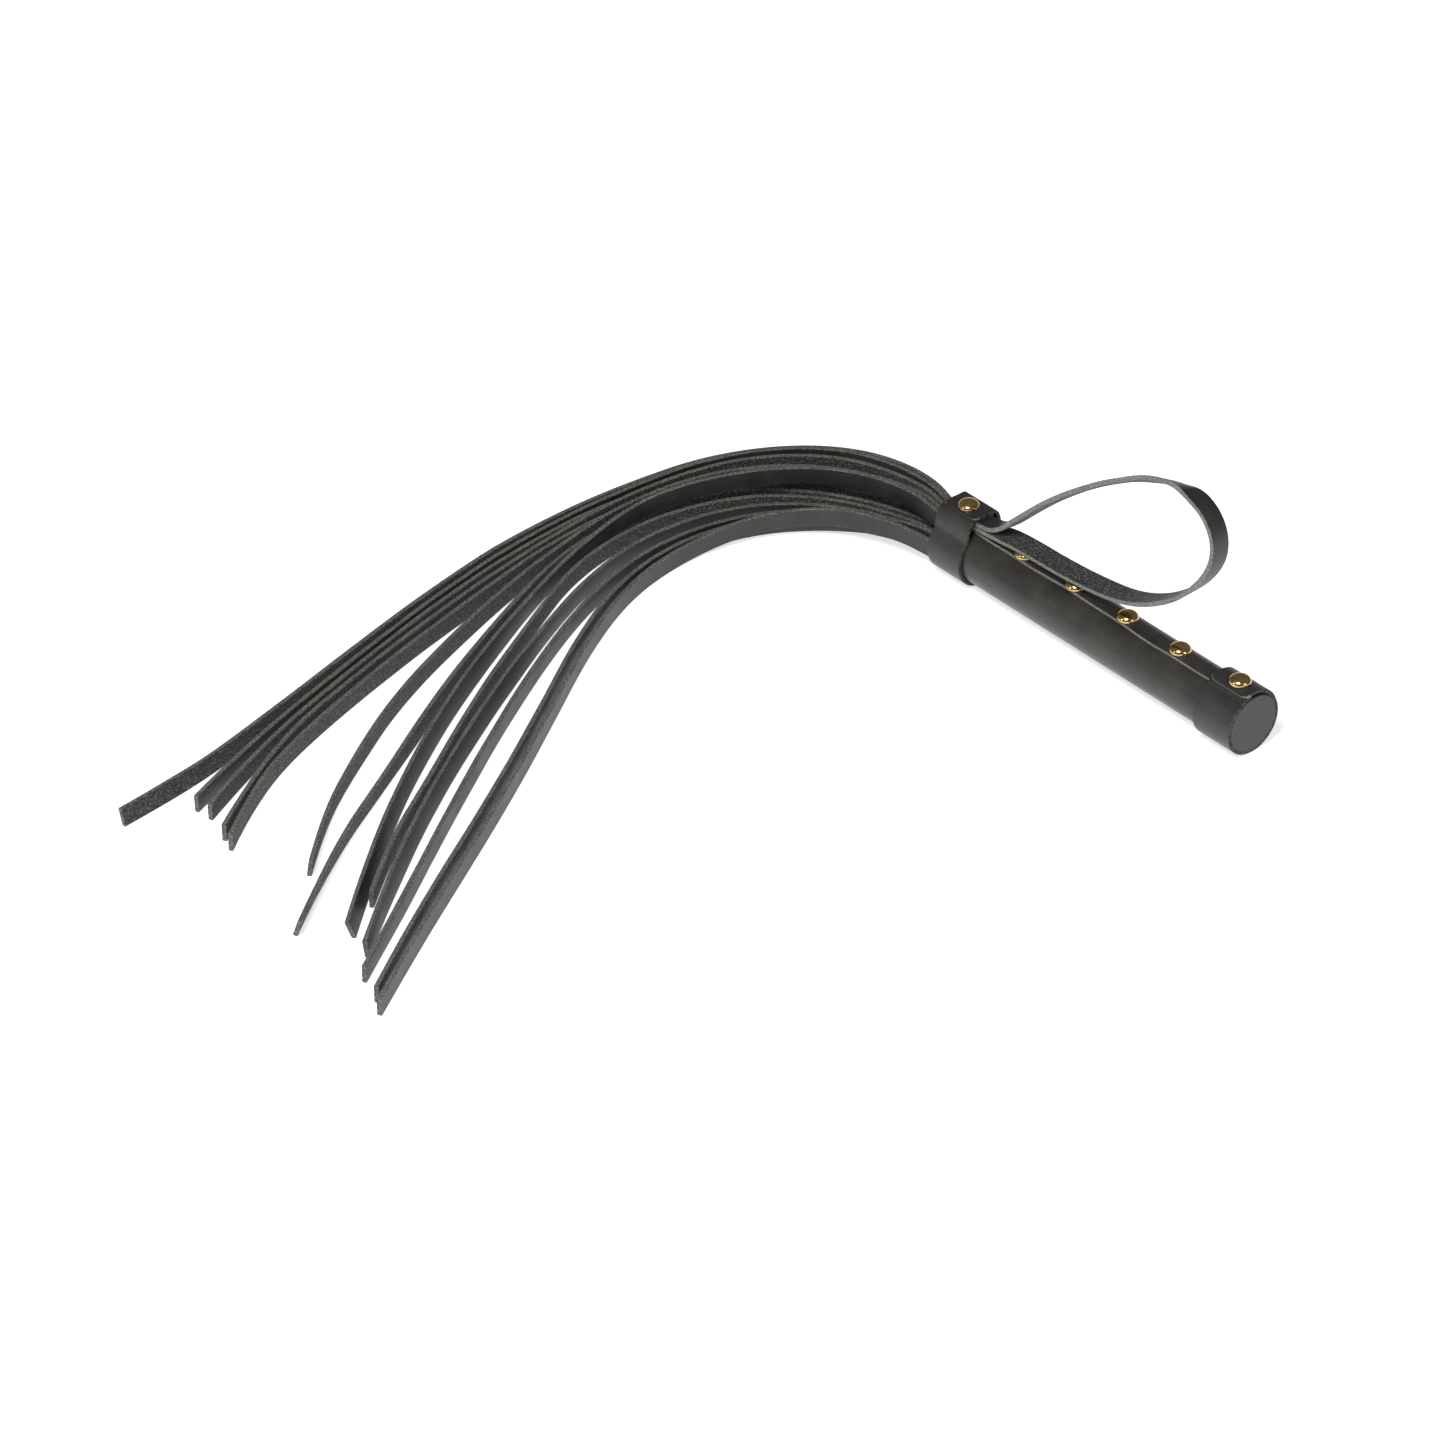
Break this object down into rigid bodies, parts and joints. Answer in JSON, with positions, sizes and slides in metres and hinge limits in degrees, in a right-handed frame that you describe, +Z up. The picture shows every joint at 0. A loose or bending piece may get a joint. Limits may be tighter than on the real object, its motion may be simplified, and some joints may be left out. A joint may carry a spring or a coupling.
{
  "type": "riding crop",
  "caption": "Short-handled leather riding crop: wrapped grip with dome nails, two collars, a wrist loop and a bunch of long narrow leather falls.",
  "frame": {"origin": "centre of the butt's flat face", "axes": "+X out of the butt along the handle's axis, +Z up, away from the surface the crop lies on; the falls leave the handle towards -X and bend round towards -Y"},
  "size_m": [0.3126, 0.3976, 0.1065],
  "materials": {
    "wood": "plain turned",
    "grip_leather": "smooth satin",
    "collar_leather": "smooth satin",
    "strap_leather": "smooth satin",
    "fall_leather": "smooth grain and napped flesh side",
    "brass": "polished"
  },
  "bodies": {
    "handle": {"handle_core": "wood", "grip_wrap": "grip_leather", "seam_nail_1": "brass", "seam_nail_2": "brass", "seam_nail_3": "brass", "seam_nail_4": "brass", "end_collar": "collar_leather", "end_collar_nail": "brass", "end_cap": "collar_leather", "front_collar": "collar_leather", "front_collar_nail": "brass", "loop_end_lower": "strap_leather", "loop_end_upper": "strap_leather", "fall_root_01": "fall_leather", "fall_root_02": "fall_leather", "fall_root_03": "fall_leather", "fall_root_04": "fall_leather", "fall_root_05": "fall_leather", "fall_root_06": "fall_leather", "fall_root_07": "fall_leather", "fall_root_08": "fall_leather", "fall_root_09": "fall_leather", "fall_root_10": "fall_leather", "fall_root_11": "fall_leather", "fall_root_12": "fall_leather", "fall_root_13": "fall_leather"},
    "wrist_loop": {"wrist_loop": "strap_leather"},
    "fall_01": {"fall_01": "fall_leather"},
    "fall_02": {"fall_02": "fall_leather"},
    "fall_03": {"fall_03": "fall_leather"},
    "fall_04": {"fall_04": "fall_leather"},
    "fall_05": {"fall_05": "fall_leather"},
    "fall_06": {"fall_06": "fall_leather"},
    "fall_07": {"fall_07": "fall_leather"},
    "fall_08": {"fall_08": "fall_leather"},
    "fall_09": {"fall_09": "fall_leather"},
    "fall_10": {"fall_10": "fall_leather"},
    "fall_11": {"fall_11": "fall_leather"},
    "fall_12": {"fall_12": "fall_leather"},
    "fall_13": {"fall_13": "fall_leather"}
  },
  "joints": [
    {"name": "loop_swing", "type": "hinge", "parent": "handle", "child": "wrist_loop", "pos_m": [-0.1595, 0, 0.01575], "axis": [0, -1, 0], "range_deg": [0, 70]},
    {"name": "fall_01_spread", "type": "hinge", "parent": "handle", "child": "fall_01", "pos_m": [-0.1832, -0.0082, -0.0042], "axis": [0, 0, 1], "range_deg": [0, 12]},
    {"name": "fall_02_spread", "type": "hinge", "parent": "handle", "child": "fall_02", "pos_m": [-0.1832, -0.00585, -0.0009], "axis": [0, 0, 1], "range_deg": [0, 10.45]},
    {"name": "fall_03_spread", "type": "hinge", "parent": "handle", "child": "fall_03", "pos_m": [-0.1832, -0.0035, -0.0066], "axis": [0, 0, 1], "range_deg": [0, 8.61]},
    {"name": "fall_04_spread", "type": "hinge", "parent": "handle", "child": "fall_04", "pos_m": [-0.1832, -0.00115, -0.0069], "axis": [0, 0, 1], "range_deg": [0, 6.76]},
    {"name": "fall_05_spread", "type": "hinge", "parent": "handle", "child": "fall_05", "pos_m": [-0.1832, 0.0012, -0.007], "axis": [0, 0, 1], "range_deg": [0, 4.92]},
    {"name": "fall_06_spread", "type": "hinge", "parent": "handle", "child": "fall_06", "pos_m": [-0.1832, -0.0035, 0.0064], "axis": [0, 0, 1], "range_deg": [0, 3.07]},
    {"name": "fall_07_spread", "type": "hinge", "parent": "handle", "child": "fall_07", "pos_m": [-0.1832, 0.00355, -0.0066], "axis": [0, 0, 1], "range_deg": [0, 1.22]},
    {"name": "fall_08_spread", "type": "hinge", "parent": "handle", "child": "fall_08", "pos_m": [-0.1832, -0.00115, 0.0069], "axis": [0, 0, 1], "range_deg": [-1.22, 0]},
    {"name": "fall_09_spread", "type": "hinge", "parent": "handle", "child": "fall_09", "pos_m": [-0.1832, 0.0059, -0.006], "axis": [0, 0, 1], "range_deg": [-3.07, 0]},
    {"name": "fall_10_spread", "type": "hinge", "parent": "handle", "child": "fall_10", "pos_m": [-0.1832, 0.0012, 0.007], "axis": [0, 0, 1], "range_deg": [-4.92, 0]},
    {"name": "fall_11_spread", "type": "hinge", "parent": "handle", "child": "fall_11", "pos_m": [-0.1832, 0.00825, -0.0036], "axis": [0, 0, 1], "range_deg": [-6.76, 0]},
    {"name": "fall_12_spread", "type": "hinge", "parent": "handle", "child": "fall_12", "pos_m": [-0.1832, 0.00355, 0.0064], "axis": [0, 0, 1], "range_deg": [-8.61, 0]},
    {"name": "fall_13_spread", "type": "hinge", "parent": "handle", "child": "fall_13", "pos_m": [-0.1832, 0.006, 0.0053], "axis": [0, 0, 1], "range_deg": [-10.45, 0]}
  ],
  "couplings": [
    {"joint": "fall_02_spread", "follows": "fall_01_spread", "ratio": 0.8462},
    {"joint": "fall_03_spread", "follows": "fall_01_spread", "ratio": 0.6923},
    {"joint": "fall_04_spread", "follows": "fall_01_spread", "ratio": 0.5385},
    {"joint": "fall_05_spread", "follows": "fall_01_spread", "ratio": 0.3846},
    {"joint": "fall_06_spread", "follows": "fall_01_spread", "ratio": 0.2308},
    {"joint": "fall_07_spread", "follows": "fall_01_spread", "ratio": 0.0769},
    {"joint": "fall_08_spread", "follows": "fall_01_spread", "ratio": -0.0769},
    {"joint": "fall_09_spread", "follows": "fall_01_spread", "ratio": -0.2308},
    {"joint": "fall_10_spread", "follows": "fall_01_spread", "ratio": -0.3846},
    {"joint": "fall_11_spread", "follows": "fall_01_spread", "ratio": -0.5385},
    {"joint": "fall_12_spread", "follows": "fall_01_spread", "ratio": -0.6923},
    {"joint": "fall_13_spread", "follows": "fall_01_spread", "ratio": -0.8462}
  ]
}
